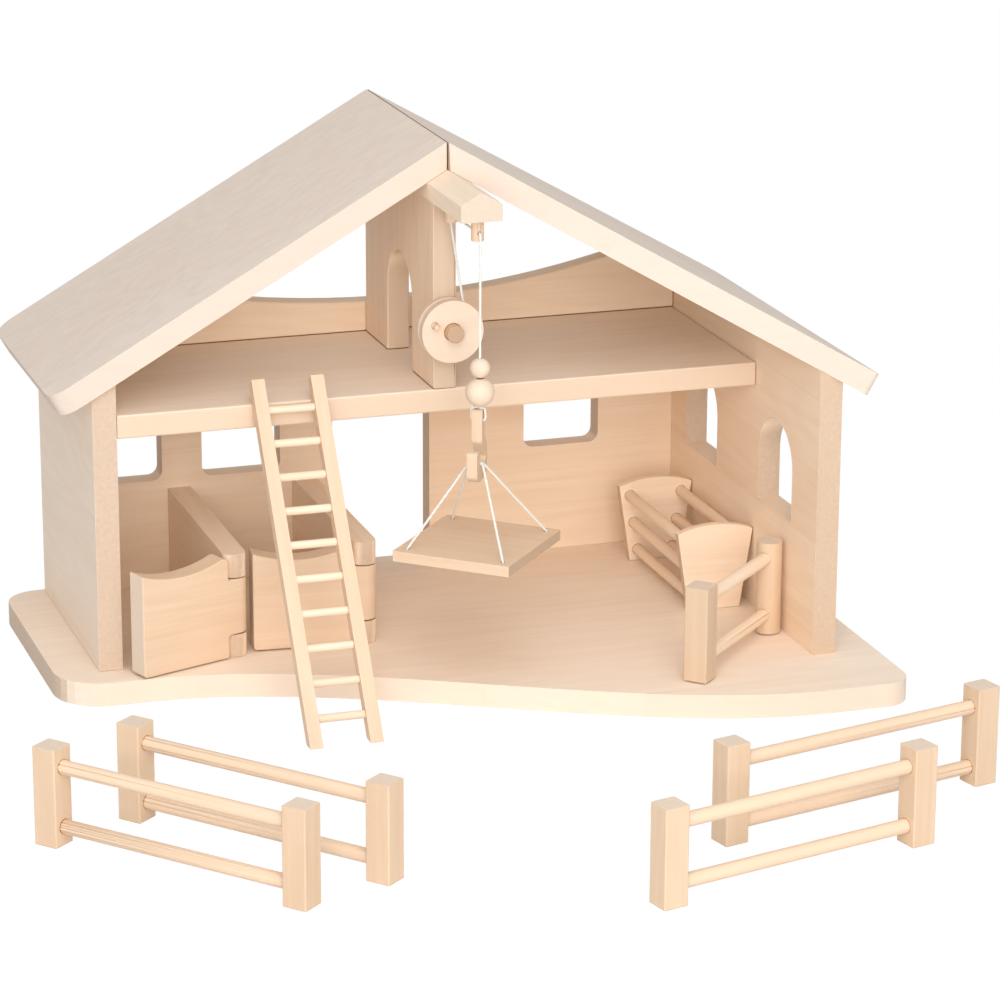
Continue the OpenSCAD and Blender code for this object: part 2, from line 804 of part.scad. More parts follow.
// Bend of a sling cord beside the hook: place in the mouth and side
function sling_bend(out, side) =
  let (across = side * hook_side - hook_off)
  [hoist_x + across * cos(hook_turn) - out * sin(hook_turn),
   drop_y - across * sin(hook_turn) - out * cos(hook_turn), saddle_z];

// Point at height z on the middle line of the platform's hole at sides i and j
function sling_hole(i, j, z) =
  [hoist_x - platform_off + i * hole_x * cos(platform_turn) - j * hole_y * sin(platform_turn),
   drop_y + i * hole_x * sin(platform_turn) + j * hole_y * cos(platform_turn), z];

// Half a sling cord: from the saddle down to the hole at sides i and j, and to its knot
module sling_half(out, side, i, j) {
  bend = sling_bend(out, side);
  mouth = sling_hole(i, j, platform_z);
  knot = sling_hole(i, j, platform_under + knot_recess - knot_r - cord_clear);
  translate(bend) sphere(sling_bend_r, $fn = 32);
  cord_between(mouth, bend, sling_r);
  translate(mouth) sphere(sling_bend_r, $fn = 32);
  cord_between(knot, mouth, sling_r);
  translate(knot) sphere(knot_r, $fn = 32);
}

// One cord over the hook's saddle, to the holes at sides i, j on the left and k, l on the right
module sling_cord(out, i, j, k, l) {
  cord_between(sling_bend(out, -1), sling_bend(out, 1), sling_r);
  sling_half(out, -1, i, j);
  sling_half(out, 1, k, l);
}

module hoist_slings() {
  color(cord_white) {
    sling_cord(sling_out[0], -1, 1, 1, 1);
    sling_cord(sling_out[1], -1, -1, 1, -1);
  }
}

module hoist_platform() {
  color(maple) difference() {
    translate([-platform_off, 0, 0]) on_hoist(platform_turn)
      translate([0, 0, platform_z - platform_t / 2])
        cube([platform_w, platform_d, platform_t], center = true);
    for (i = [-1, 1], j = [-1, 1]) {
      translate(sling_hole(i, j, platform_under - eps))
        cylinder(r = sling_r + 2 * cord_room, h = platform_t + 2 * eps);
      translate(sling_hole(i, j, platform_under - eps))
        cylinder(r = knot_r + 2 * cord_room, h = knot_recess + eps);
    }
  }
}

// ---- stalls and doors ----

partition_top = board_t + partition_h;
knuckle_r = board_t / 2;
cut_r = knuckle_r + hinge_cut;
knuckle_low = board_t + knuckle_h;
knuckle_high = partition_top - knuckle_h;
door_knuckle_from = knuckle_low + knuckle_gap;
door_knuckle_to = knuckle_high - knuckle_gap;
door_foot = board_t + door_lift;
pin_foot = 3;       // how far a pin starts above the base
pin_top = 4;        // how far a pin ends below the knuckle's top
door_chamfer = 2;   // chamfer at the foot of a door's free end

module hinge_pin_solid(x, grow = 0) {
  translate([x, hinge_y, board_t + pin_foot])
    cylinder(r = hinge_pin_r + grow, h = partition_h - pin_foot - pin_top + grow);
}

module partition(x0) {
  axis_x = x0 + board_t / 2;
  color(maple) difference() {
    union() {
      board_x(x0, board_t) polygon(
        [[hinge_y, board_t], [back_in, board_t], [back_in, partition_top],
         [hinge_y, partition_top]]);
      translate([axis_x, hinge_y, board_t]) cylinder(r = knuckle_r, h = partition_h);
    }
    translate([x0 - eps, hinge_y - 2 * knuckle_r, knuckle_low])
      cube([board_t + 2 * eps, 2 * knuckle_r + cut_r, knuckle_high - knuckle_low]);
    hinge_pin_solid(axis_x, glue_fit);
    base_dowels_solid(glue_fit);
  }
}

module stall_partition_left() { partition(partition_1_x); }
module stall_partition_right() { partition(partition_2_x); }

module stall_hinge_pins() {
  color(maple_pale) {
    hinge_pin_solid(partition_1_x + board_t / 2);
    hinge_pin_solid(partition_2_x + board_t / 2);
  }
}

// Door outline in distance from the hinge axis and height over the floor. The hollow of the
// top edge is one arc that runs smoothly into the shoulder beside the hinge.
function door_outline(len_d, top) =
  let (
    r = door_shoulder_r,
    crest = cut_r + r,
    half = (len_d - crest) / 2,
    dip_r = (half * half + pow(r - door_hollow, 2) - r * r) / (2 * door_hollow),
    swing = asin(half / (dip_r + r))
  )
  concat(
    [[0, door_knuckle_from], [cut_r, door_knuckle_from], [cut_r, door_foot],
     [len_d - door_chamfer, door_foot], [len_d, door_foot + door_chamfer]],
    arc(crest + half, top - door_hollow + dip_r, dip_r, asin(half / dip_r) - 90, -swing - 90, 20),
    arc(crest, top - r, r, 90 - swing, 180, 6, skip = 1),
    [[cut_r, door_knuckle_to], [0, door_knuckle_to]]);

module door(axis_x, len_d, h, angle) {
  color(maple) translate([axis_x, hinge_y, 0]) rotate([0, 0, 180 + angle]) difference() {
    union() {
      board_y(-knuckle_r, board_t) polygon(door_outline(len_d, door_foot + h));
      translate([0, 0, door_knuckle_from])
        cylinder(r = knuckle_r, h = door_knuckle_to - door_knuckle_from);
    }
    translate([0, 0, door_knuckle_from - eps])
      cylinder(r = hinge_pin_r + pin_fit, h = door_knuckle_to - door_knuckle_from + 2 * eps);
  }
}

module stall_door_left() {
  door(partition_1_x + board_t / 2, stall_left_w + board_t / 2 - door_gap_left,
       door_left_h, door_left_angle);
}

module stall_door_right() {
  door(partition_2_x + board_t / 2, stall_right_w + board_t / 2 - door_gap_right,
       door_right_h, door_right_angle);
}

// ---- ladder ----

ladder_lean = atan2(loft_top, ladder_foot);   // angle between rails and floor
// Room between the rails and the loft edge, with what the ladder's turn takes up
ladder_seat = 0.2 + (rail_gap + rail_w) / 2 * sin(ladder_turn);
rung_in = 2;   // how far a rung reaches past the middle of a rail

// The ladder's own frame: x across, y along the rails from the foot, z out of the front
module on_ladder() {
  translate([-ladder_x, 0, 0]) rotate([0, 0, -ladder_turn])
    translate([0, -ladder_foot, 0]) rotate([ladder_lean, 0, 0])
      translate([0, 0, ladder_seat]) children();
}

module rung_solid(i, grow = 0) {
  translate([-rail_gap / 2 - rung_in, rung_first + i * rung_pitch, rail_d / 2])
    rotate([0, 90, 0]) cylinder(r = rung_r + grow, h = rail_gap + 2 * rung_in);
}

module ladder_rail(side) {
  color(maple_pale) difference() {
    on_ladder() difference() {
      translate([side * rail_gap / 2 - rail_w / 2, -rail_d, 0])
        cube([rail_w, ladder_len + rail_d, rail_d]);
      for (i = [0:rungs - 1]) rung_solid(i, glue_fit);
    }
    // The feet are cut off level with the floor
    translate([-ladder_x - rail_gap, -ladder_foot - rail_gap, -2 * rail_d])
      cube([2 * rail_gap, 2 * rail_gap, 2 * rail_d]);
  }
}

module ladder_rail_left() { ladder_rail(-1); }
module ladder_rail_right() { ladder_rail(1); }

module ladder_rungs() {
  color(maple_pale) on_ladder() for (i = [0:rungs - 1]) rung_solid(i);
}

// ---- manger ----

manger_x = wall_in - manger_wall_gap - plate_top_w / 2;
manger_y = back_in - manger_back_gap - manger_len - 2 * plate_t;
plate_crown_r = (pow(plate_top_w / 2, 2) + pow(plate_h - plate_side_h, 2))
                / (2 * (plate_h - plate_side_h));
bar_socket = plate_t / 2;

function plate_half(h) = plate_foot_w / 2 + (plate_top_w - plate_foot_w) / 2 * h / plate_side_h;

module bar_solid(side, i, grow = 0) {
  h = bar_low + bar_step * i;
  translate([manger_x + side * (plate_half(h) - bar_edge),
             manger_y + plate_t - bar_socket - grow, board_t + manger_lift + h])
    rotate([-90, 0, 0]) cylinder(r = bar_r + grow, h = manger_len + 2 * bar_socket + 2 * grow);
}

module manger_plate(y) {
  color(maple_pale) difference() {
    board_y(y, plate_t) translate([manger_x, board_t + manger_lift]) intersection() {
      polygon([[-plate_foot_w / 2, 0], [plate_foot_w / 2, 0],
               [plate_half(plate_h), plate_h], [-plate_half(plate_h), plate_h]]);
      translate([0, plate_h - plate_crown_r]) circle(plate_crown_r, $fn = 180);
    }
    for (side = [-1, 1], i = [0:2]) bar_solid(side, i, glue_fit);
  }
}

module manger_plate_front() { manger_plate(manger_y); }
module manger_plate_rear() { manger_plate(manger_y + plate_t + manger_len); }

module manger_bars() {
  color(maple_pale) for (side = [-1, 1], i = [0:2]) bar_solid(side, i);
}

// ---- posts, rails, gate and fences ----

// A square post with chamfered edges, standing on z = 0
module post(h) {
  c = post_chamfer;
  w = post_w / 2;
  linear_extrude(h) polygon([
    [-w + c, -w], [w - c, -w], [w, -w + c], [w, w - c],
    [w - c, w], [-w + c, w], [-w, w - c], [-w, -w + c]]);
}

// Two rails lying along x from x0 to x1, at the heights zs
module rail_pair(x0, x1, zs, grow) {
  for (z = zs)
    translate([x0 - grow, 0, z]) rotate([0, 90, 0])
      cylinder(r = fence_rail_r + grow, h = x1 - x0 + 2 * grow);
}

pivot_depth = 12;    // how far the pivot dowel reaches into the base
pivot_up = 20;       // depth of its bore in the hinge post
pivot_end = 1;       // room over the dowel in that bore
gate_x = wall_in - gate_off_wall;

module gate_pivot_hole() {
  translate([gate_x, -gate_y, board_t - pivot_depth])
    cylinder(r = gate_pivot_r + glue_fit, h = pivot_depth + eps);
}

module gate_pivot_dowel() {
  color(maple_pale) translate([gate_x, -gate_y, board_t - pivot_depth])
    cylinder(r = gate_pivot_r, h = pivot_depth + gate_lift + pivot_up - pivot_end);
}

// The gate's own frame: x from the hinge post to the free post
module on_gate() {
  translate([gate_x, -gate_y, board_t + gate_lift]) rotate([0, 0, 180 + gate_angle])
    children();
}

module gate_rail_solids(grow = 0) {
  rail_pair(gate_post_r - socket / 2, gate_len - post_w / 2 + socket / 2,
            [gate_rail_low, gate_rail_high], grow);
}

module gate_hinge_post() {
  color(maple_pale) on_gate() difference() {
    cylinder(r = gate_post_r, h = gate_post_h);
    translate([0, 0, -eps]) cylinder(r = gate_pivot_r + gate_fit, h = pivot_up + eps);
    gate_rail_solids(glue_fit);
  }
}

module gate_free_post() {
  color(maple_pale) on_gate() difference() {
    translate([gate_len, 0, 0]) post(gate_post_h);
    gate_rail_solids(glue_fit);
  }
}

module gate_rails() {
  color(maple_pale) on_gate() gate_rail_solids();
}

// Middle to middle distance of section k's posts
function post_gap(k) = fence_len + fence_pulled[k];

module on_fence(k) {
  translate([fence_at[k][0], fence_at[k][1], 0]) rotate([0, 0, fence_dir[k]]) children();
}

module fence_rail_solids(k, grow = 0) {
  half = fence_len / 2 - post_w / 2 + socket;
  rail_pair(post_gap(k) / 2 - half, post_gap(k) / 2 + half,
            [rail_low - fence_spread[k], rail_high + fence_spread[k]], grow);
}

// Section k's post a (end 0) or b (end 1)
module fence_post(k, end) {
  color(maple_pale) on_fence(k) difference() {
    translate([end * post_gap(k), 0, 0]) post(post_h + fence_taller[k]);
    fence_rail_solids(k, glue_fit);
  }
}

module fence_rails(k) {
  color(maple_pale) on_fence(k) fence_rail_solids(k);
}

base_board();
left_wall();
right_wall();
back_panel_left();
back_panel_right();
loft_floor();
loft_back_board();
centre_wall();
roof_panel_left();
roof_panel_right();
ridge_beam();
rear_guide_peg();
front_guide_peg();
base_dowels();
roof_dowels();
winch_axle();
winch_rear_flange();
winch_drum();
winch_front_flange();
winch_crank_peg();
winch_cord_wrap();
hoist_cord_rise();
hoist_cord_run();
hoist_cord_drop();
hoist_bead_small();
hoist_bead_large();
hoist_cord_loop();
hoist_hook();
hoist_slings();
hoist_platform();
stall_partition_left();
stall_partition_right();
stall_hinge_pins();
stall_door_left();
stall_door_right();
ladder_rail_left();
ladder_rail_right();
ladder_rungs();
manger_plate_front();
manger_plate_rear();
manger_bars();
gate_pivot_dowel();
gate_hinge_post();
gate_free_post();
gate_rails();
fence_post(0, 0);  // fence_1_post_a
fence_post(0, 1);  // fence_1_post_b
fence_rails(0);  // fence_1_rails
fence_post(1, 0);  // fence_2_post_a
fence_post(1, 1);  // fence_2_post_b
fence_rails(1);  // fence_2_rails
fence_post(2, 0);  // fence_3_post_a
fence_post(2, 1);  // fence_3_post_b
fence_rails(2);  // fence_3_rails
fence_post(3, 0);  // fence_4_post_a
fence_post(3, 1);  // fence_4_post_b
fence_rails(3);  // fence_4_rails
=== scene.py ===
"""Looks of the wooden toy barn: grain and colour of each board, softened edges, the hoist's cords,
and a plain white studio with the photograph's view."""

import math

import bpy
from mathutils import Matrix, Vector

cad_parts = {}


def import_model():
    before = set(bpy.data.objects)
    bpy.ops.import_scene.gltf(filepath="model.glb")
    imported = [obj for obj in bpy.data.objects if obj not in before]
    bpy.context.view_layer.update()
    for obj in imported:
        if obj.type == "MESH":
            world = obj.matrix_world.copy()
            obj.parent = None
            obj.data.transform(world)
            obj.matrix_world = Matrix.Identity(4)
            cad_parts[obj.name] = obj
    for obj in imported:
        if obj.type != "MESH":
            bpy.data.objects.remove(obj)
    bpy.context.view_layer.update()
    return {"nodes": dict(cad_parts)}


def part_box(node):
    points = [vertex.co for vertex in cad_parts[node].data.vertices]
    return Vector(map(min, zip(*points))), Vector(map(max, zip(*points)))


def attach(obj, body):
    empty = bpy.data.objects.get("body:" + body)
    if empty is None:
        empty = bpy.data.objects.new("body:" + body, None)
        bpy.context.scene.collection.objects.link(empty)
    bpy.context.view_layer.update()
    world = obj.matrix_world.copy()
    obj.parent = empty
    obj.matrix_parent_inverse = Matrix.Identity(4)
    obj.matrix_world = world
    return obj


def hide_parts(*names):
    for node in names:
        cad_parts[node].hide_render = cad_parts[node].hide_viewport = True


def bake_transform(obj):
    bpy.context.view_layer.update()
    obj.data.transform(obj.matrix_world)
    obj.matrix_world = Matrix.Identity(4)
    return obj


MM = 0.001

# ---- camera, from lines measured on the photograph ----
CAMERA_PLACE = Vector((-922.2, -2946.5, 1099.0)) * MM
CAMERA_YAW = 18.24          # degrees to the right of +Y
CAMERA_PITCH = 17.23        # degrees downwards
CAMERA_ROLL = 0.24          # degrees, right side up
CAMERA_LENS = 138.05        # mm
CAMERA_SENSOR = 36          # mm wide
CAMERA_CLIP = (0.1, 50)     # m

# ---- colours as sRGB, converted when used ----
FLOOR_LIGHT = (0.990, 0.925, 0.855)
FLOOR_DARK = (0.950, 0.860, 0.770)
BOARD_LIGHT = (0.985, 0.915, 0.840)
BOARD_DARK = (0.945, 0.850, 0.760)
SHADE_LIGHT = (0.990, 0.905, 0.810)
SHADE_DARK = (0.940, 0.820, 0.700)
ROOF_LIGHT = (0.930, 0.870, 0.815)
ROOF_DARK = (0.875, 0.800, 0.735)
POST_LIGHT = (0.935, 0.825, 0.715)
POST_DARK = (0.880, 0.750, 0.625)
ROD_DARK = (0.905, 0.785, 0.670)
TAWNY_LIGHT = (0.855, 0.730, 0.605)
TAWNY_DARK = (0.790, 0.640, 0.500)
SQUARE_LIGHT = (0.895, 0.790, 0.680)
SQUARE_DARK = (0.840, 0.715, 0.590)
DECK_LIGHT = (0.915, 0.805, 0.695)
DECK_DARK = (0.865, 0.735, 0.610)
BEAD_LIGHT = (0.935, 0.850, 0.765)
BEAD_DARK = (0.890, 0.780, 0.680)
END_PALE = (0.915, 0.860, 0.800)
END_WARM = (0.745, 0.635, 0.540)
END_BEAM = (0.790, 0.735, 0.675)
# sawn edge of the loft floor, darkened as painted shade
LOFT_EDGE_SHADE = (0.880, 0.765, 0.650)
# painted shade for the narrow seams between pieces
PAINTED_SEAM_SHADE = (0.60, 0.44, 0.30)
CORD_COLOUR = (0.955, 0.950, 0.930)
CORD_SHADE = (0.800, 0.785, 0.745)

# lighter wood, darker wood, end grain, and sawn edge with the share of it that shows; the loft's
# and the upright's sawn edge is painted shade as well
PALETTES = {
    "floor": (FLOOR_LIGHT, FLOOR_DARK, END_WARM, FLOOR_DARK, 0.6),
    "loft": (FLOOR_LIGHT, FLOOR_DARK, END_WARM, LOFT_EDGE_SHADE, 0.7),
    "board": (BOARD_LIGHT, BOARD_DARK, END_WARM, BOARD_DARK, 0.0),
    "shade": (SHADE_LIGHT, SHADE_DARK, END_WARM, SHADE_DARK, 0.0),
    "upright": (SHADE_LIGHT, SHADE_DARK, END_WARM, END_WARM, 0.55),
    "roof": (ROOF_LIGHT, ROOF_DARK, END_WARM, ROOF_DARK, 0.6),
    "post": (POST_LIGHT, POST_DARK, END_PALE, POST_DARK, 0.0),
    "rod": (POST_LIGHT, ROD_DARK, END_PALE, ROD_DARK, 0.0),
    "bead": (BEAD_LIGHT, BEAD_DARK, END_PALE, BEAD_DARK, 0.0),
    "square": (SQUARE_LIGHT, SQUARE_DARK, END_PALE, SQUARE_DARK, 0.0),
    "beam": (SHADE_LIGHT, BOARD_DARK, END_BEAM, BOARD_DARK, 0.0),
    "deck": (DECK_LIGHT, DECK_DARK, END_WARM, DECK_DARK, 0.0),
    "tawny": (TAWNY_LIGHT, TAWNY_DARK, END_WARM, TAWNY_DARK, 0.0),
}

# ---- the part's own measures, as in its source; angles in degrees ----
LOFT_TOP = 238.8            # mm
LADDER_FOOT = 163           # mm, from the loft's front to the backs of the ladder's rails
LADDER_LEAN = math.atan2(LOFT_TOP, LADDER_FOOT)     # radians, between rails and floor
HOOK_TURN = 31
PLATFORM_TURN = -41.6
FENCE_TURNS = (-49.4, -49.9, 14, 13.6)

CORD_R = 1.1 * MM
BEND_R = 1.28 * CORD_R      # a cord's bends are balls that take in both of its ends
CLEAR = 0.1 * MM
PEG_HOLE_UP = 7 * MM        # from a guide peg's lower end to its cord hole
HOOK_T = 8.8 * MM           # the hook's thickness
HOOK_OFF = 1.5 * MM         # from the hook's middle to the hanging cord
PLATFORM_HALF = (103 / 2 * MM, 108.5 / 2 * MM)
PLATFORM_OFF = 2 * MM       # from the platform's middle to the hanging cord
SLING_INSET = 9 * MM        # from the platform's edges to the slings' holes
SLING_OUT = (5.7 * MM, 8.7 * MM)    # rear and front sling, forward on the hook's saddle
KNOT_R = 2.3 * MM
RECESS_DEPTH = 5.5 * MM     # in the platform's underside, for the knots
KNOT_UP = RECESS_DEPTH - KNOT_R - CLEAR

# ---- pieces ----
AXES = {"x": 0, "y": 1, "z": 2}

# for each piece: the axis that its grain follows ("ladder" is along the leaning rails), the axis
# across its glued staves, its palette, its edges' radius in mm (0 leaves them sharp), and for a
# piece that stands turned, its turn about the vertical in degrees
BOARDS = {
    "base_board": ("x", "y", "floor", 4.0),
    "left_wall": ("y", "z", "board", 2.2),
    "right_wall": ("y", "z", "shade", 2.2),
    "back_panel_left": ("x", "z", "shade", 2.0),
    "back_panel_right": ("x", "z", "shade", 2.0),
    "loft_floor": ("x", "y", "loft", 2.0),
    "loft_back_board": ("x", "z", "shade", 2.0),
    "centre_wall": ("z", "y", "upright", 2.0),
    "roof_panel_left": ("x", "y", "roof", 2.8),
    "roof_panel_right": ("x", "y", "roof", 2.8),
    "ridge_beam": ("y", "x", "beam", 1.6),
    "stall_partition_left": ("y", "z", "shade", 2.4),
    "stall_partition_right": ("y", "z", "shade", 2.4),
    "stall_door_left": ("x", "z", "post", 2.6, 20),
    "stall_door_right": ("x", "z", "post", 2.6, -4.5),
    "hoist_platform": ("x", "y", "deck", 1.8, PLATFORM_TURN),
    "hoist_hook": ("z", "y", "square", 1.0, -HOOK_TURN),
    "manger_plate_front": ("x", "z", "shade", 1.6),
    "manger_plate_rear": ("x", "z", "shade", 1.6),
    "winch_rear_flange": ("x", "z", "bead", 0.8),
    "winch_front_flange": ("x", "z", "bead", 0.8),
    "winch_drum": ("y", "z", "post", 0.0),
    "winch_axle": ("y", "z", "tawny", 0.8),
    "winch_crank_peg": ("y", "z", "post", 0.0),
    "rear_guide_peg": ("z", "x", "post", 0.8),
    "front_guide_peg": ("z", "x", "post", 0.8),
    "hoist_bead_small": ("z", "x", "bead", 0.0),
    "hoist_bead_large": ("z", "x", "bead", 0.0),
    "stall_hinge_pins": ("z", "x", "post", 0.3),
    "ladder_rail_left": ("ladder", "x", "post", 1.4),
    "ladder_rail_right": ("ladder", "x", "post", 1.4),
    "ladder_rungs": ("x", "z", "shade", 0.0),
    "manger_bars": ("y", "z", "shade", 0.0),
    "gate_hinge_post": ("z", "x", "square", 1.2),
    "gate_free_post": ("z", "x", "square", 2.4, 44),
    "gate_rails": ("x", "z", "shade", 0.0, 44),
    "gate_pivot_dowel": ("z", "x", "post", 0.3),
    "base_dowels": ("z", "x", "post", 0.3),
    "roof_dowels": ("z", "x", "post", 0.3),
}
# the same for the pieces of each fence section, which take their turn from FENCE_TURNS
FENCE_POST = ("z", "x", "square", 2.4)
FENCE_RAILS = ("x", "z", "rod", 0.0)

# no painted shade in the seams of the pieces that a door or the manger stands close to: it would
# stay there when the door or the manger moves away
NO_SEAM_SHADE = ("base_board", "right_wall")

# ---- softened edges ----
WELD_REACH = 0.002 * MM
FLAT_ANGLE = math.radians(0.2)      # faces that differ by less are one
ARRIS_ANGLE = math.radians(35)      # edges that bend by more are rounded
ARRIS_SEGMENTS = 4

# ---- figure of the wood: waves per metre along and over the grain ----
FIBRE_WAVES = (9.0, 620.0)
STREAK_WAVES = (3.0, 120.0)
DRIFT_WAVES = (1.6, 11.0)
CLOUD_WAVES = (2.0, 5.0)
SPECKLE_WAVES = (300.0, 300.0)
RING_STEP = 85.0            # radians of growth ring for a whole step of the drift
STAVE_WIDTH = 0.062         # m
GLUE_LINE = (0.488, 0.4995)         # distance from a stave's middle, in widths of a stave
SEED_STEP = (0.37, 0.71, 0.53)      # m, from one piece's place in the figure to the next one's

# how much of the darker wood each part brings, and the sums that show the lighter and the darker
FIBRE_SHARE = 0.40
STREAK_SHARE = 0.45
RING_SHARE = 0.10
CLOUD_SHARE = 0.35
STAVE_SHARE = 0.16
GLUE_SHARE = 0.10
FIGURE_SUMS = (0.45, 1.05)

FACING = (0.75, 0.95)       # cosines between which a face turns into an edge or an end
END_SHARE = 0.8
SPECKLE_SHARE = 0.5
# painted shade in the narrow seams between pieces, found by ambient occlusion
SEAM_SHADE_REACH = 1.6 * MM
SEAM_SHADE_SAMPLES = 4
SEAM_SHADE_OPEN = (0.30, 0.72)    # share of open sky where the painted seam shade is full and where the wood is clear

# roughness and reflection, then strength and height of the fine relief
WOOD_COAT = (0.62, 0.30, 0.12, 0.15 * MM)
CORD_COAT = (0.85, 0.15, 0.3, 0.1 * MM)
CORD_SHEEN = 0.25
FUZZ_WAVES = 2600.0         # per metre
FUZZ_RANGE = (0.35, 0.8)

# ---- laid cords ----
CORD_STEP = 0.5 * MM        # from one ring of points to the next
CORD_SIDES = 15
CORD_STRANDS = 3
CORD_GROOVE = 0.10          # depth of wave between the strands, as a share of the radius
CORD_LAY = 5.5 * MM         # length of one turn of the strands
WINDING_PITCH = 1.02        # in widths of the cord
WINDING_STEPS = 24          # in one turn
LEAD_ARC = 170              # degrees over the winding
LEAD_ARC_STEPS = 14
LEAD_CLIMB_STEPS = 4        # of these, to climb onto the winding
LEAD_LIFT = 1.1             # above the winding, in radii of the cord
LEAD_RISE_STEPS = 9
RUN_SAG = 0.4 * MM
RUN_STEPS = (0.15, 0.3, 0.5, 0.7, 0.85)
SLING_STEPS = (0.25, 0.5, 0.75, 0.96)
SLING_CROWN = 0.25 * MM     # of the slings over the hook's saddle
SLING_SHOULDER = 1.2        # mm inwards, where they turn down beside it
SLING_MOUTH = 0.6           # share of the way from a knot up to its hole's mouth
KNOT_TURNS = 1.6
KNOT_STEPS = 24
KNOT_COIL = 0.55            # radius of the coil, its height and the cord's radius, all as
KNOT_HEIGHT = 1.3           # shares of the knot's radius
KNOT_CORD = 0.52

# ---- studio; colours here are linear ----
FLOOR_HALF = 8.0            # m
FLOOR_SINK = 0.05 * MM      # keeps the floor clear of the part's underside
FLOOR_GREY = (0.80, 0.80, 0.80, 1)
FLOOR_GLOW = 1.04
FLOOR_GLOW_SHARE = 0.945    # the rest keeps the faint shadow
SKY_TINT = (0.96, 0.98, 1.0, 1)
SKY_LIGHT = 0.51
WARM = (1.0, 0.99, 0.97)
COOL = (0.97, 0.985, 1.0)
LAMP_AIM = (0, 0, 0.2)
# name, place, side in metres, watts and tint
LAMPS = (
    ("front", (-0.75, -2.7, 1.05), 1.6, 31, WARM),
    ("front_high", (-0.4, -2.3, 2.5), 2.0, 25, WARM),
    ("front_low", (0.2, -2.8, 0.5), 1.6, 12, WARM),
    ("left", (-2.2, -2.6, 1.4), 2.0, 14, COOL),
    ("top", (0.2, -0.4, 3.4), 2.4, 14, COOL),
)


def linear(colour):
    """sRGB triple to the linear RGBA that shader sockets take."""
    return tuple(
        c / 12.92 if c <= 0.04045 else ((c + 0.055) / 1.055) ** 2.4 for c in colour
    ) + (1.0,)


def into_scene(name, data):
    """A new object of the data, linked to the scene."""
    thing = bpy.data.objects.new(name, data)
    bpy.context.scene.collection.objects.link(thing)
    return thing


class Nodes:
    """Small helper that adds and links the shader nodes of a material or world."""

    def __init__(self, owner):
        owner.use_nodes = True
        self.tree = owner.node_tree
        self.tree.nodes.clear()

    def add(self, kind, **settings):
        node = self.tree.nodes.new(kind)
        for key, value in settings.items():
            setattr(node, key, value)
        return node

    def join(self, value, socket):
        """Links the value if it is a node's output, and else sets it."""
        if isinstance(value, bpy.types.NodeSocket):
            self.tree.links.new(value, socket)
        else:
            socket.default_value = value

    def feed(self, node, *values):
        """Joins the values to the node's inputs in order, and gives its first output."""
        for socket, value in zip(node.inputs, values):
            self.join(value, socket)
        return node.outputs[0]

    def put(self, node, values):
        """Joins the values to the inputs of those names, and gives the node's first output."""
        for name, value in values.items():
            self.join(value, node.inputs[name])
        return node.outputs[0]

    def math(self, operation, *values):
        return self.feed(self.add("ShaderNodeMath", operation=operation), *values)

    def vector(self, operation, *values):
        node = self.add("ShaderNodeVectorMath", operation=operation)
        self.feed(node, *values)
        return node.outputs["Value" if operation == "DOT_PRODUCT" else "Vector"]

    def turned(self, vector, axis, angle):
        node = self.add("ShaderNodeVectorRotate", rotation_type=axis)
        return self.put(node, {"Vector": vector, "Angle": angle})

    def noise(self, vector, detail, roughness=0.55):
        return self.put(self.add("ShaderNodeTexNoise"), {
            "Vector": vector, "Scale": 1.0, "Detail": detail, "Roughness": roughness})

    def mix(self, factor, a, b):
        node = self.add("ShaderNodeMix", data_type="RGBA")
        for name, value in (("Factor", factor), ("A", a), ("B", b)):
            kind = "NodeSocketFloatFactor" if name == "Factor" else "NodeSocketColor"
            self.join(value, next(
                s for s in node.inputs if s.name == name and s.bl_idname == kind))
        return next(s for s in node.outputs if s.bl_idname == "NodeSocketColor")

    def ramp(self, value, low, high):
        """0 below low, 1 above high, linear between."""
        return self.feed(self.add("ShaderNodeMapRange", clamp=True), value, low, high, 0.0, 1.0)

    def seen(self, *rays):
        """1 for the kinds of ray that are named, 0 for the others."""
        path = self.add("ShaderNodeLightPath")
        share = path.outputs[rays[0]]
        for ray in rays[1:]:
            share = self.math("MAXIMUM", share, path.outputs[ray])
        return share

    def coat(self, colour, relief, roughness, reflection, strength, height):
        """A coloured surface with a fine relief, as the material's output."""
        bump = self.put(self.add("ShaderNodeBump"), {
            "Strength": strength, "Distance": height, "Height": relief})
        shader = self.add("ShaderNodeBsdfPrincipled")
        self.surface(self.put(shader, {
            "Base Color": colour, "Roughness": roughness, "Specular IOR Level": reflection,
            "Normal": bump}))
        return shader

    def surface(self, shader, output="ShaderNodeOutputMaterial"):
        self.join(shader, self.add(output).inputs["Surface"])


